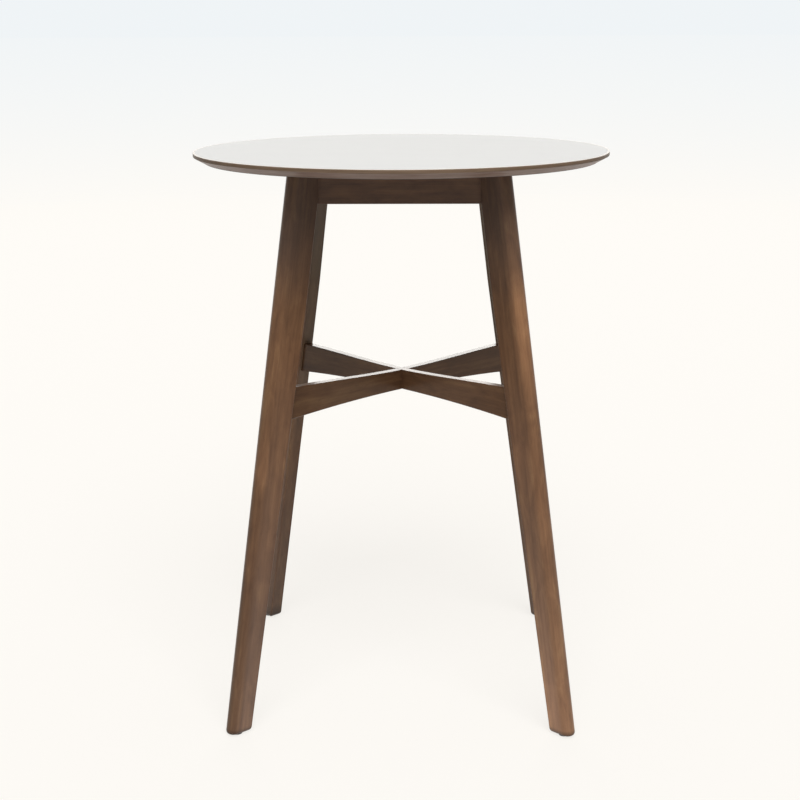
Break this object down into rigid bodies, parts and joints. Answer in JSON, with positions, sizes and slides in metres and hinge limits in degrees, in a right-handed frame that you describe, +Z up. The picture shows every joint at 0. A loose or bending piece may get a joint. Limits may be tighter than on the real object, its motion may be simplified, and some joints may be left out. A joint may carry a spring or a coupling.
{
  "type": "bar table",
  "caption": "Round bar table with a thin bevelled top, splayed tapered legs on the diagonals and a halved cross stretcher deeper at its ends.",
  "frame": {"origin": "on the floor under the middle of the top", "axes": "+Z up from the floor to the top; +X to the right and +Y to the rear as the picture shows the table"},
  "size_m": [0.8, 0.8, 1.075],
  "materials": {
    "white_laminate": "white laminate sheet, satin to glossy",
    "stained_edge": "dark stained and lacquered bevelled edge",
    "backing_sheet": "dull grey-brown backing sheet",
    "walnut_stain": "walnut-stained solid wood under satin lacquer, grain along each piece",
    "bare_hardwood": "bare hardwood, unstained",
    "zinc_steel": "bright zinc-plated steel",
    "glide_plastic": "dark moulded plastic"
  },
  "bodies": {
    "root": {"top_sheet": "white_laminate", "top_core": "stained_edge", "top_backing": "backing_sheet", "leg_front_left": "walnut_stain", "leg_front_right": "walnut_stain", "leg_rear_right": "walnut_stain", "leg_rear_left": "walnut_stain", "apron_front": "walnut_stain", "apron_right": "walnut_stain", "apron_rear": "walnut_stain", "apron_left": "walnut_stain", "stretcher_lower_arm": "walnut_stain", "stretcher_upper_arm": "walnut_stain", "corner_block_front_left": "bare_hardwood", "corner_block_front_right": "bare_hardwood", "corner_block_rear_right": "bare_hardwood", "corner_block_rear_left": "bare_hardwood", "top_bracket_front": "zinc_steel", "top_bracket_right": "zinc_steel", "top_bracket_rear": "zinc_steel", "top_bracket_left": "zinc_steel", "foot_glide_front_left": "glide_plastic", "foot_glide_front_right": "glide_plastic", "foot_glide_rear_right": "glide_plastic", "foot_glide_rear_left": "glide_plastic", "leg_bolts": "zinc_steel", "leg_washers": "zinc_steel", "leg_nuts": "zinc_steel", "block_screws": "zinc_steel", "top_screws": "zinc_steel", "bracket_screws": "zinc_steel", "lap_screw": "zinc_steel", "glide_nails": "zinc_steel", "stretcher_dowels": "bare_hardwood"}
  },
  "joints": []
}
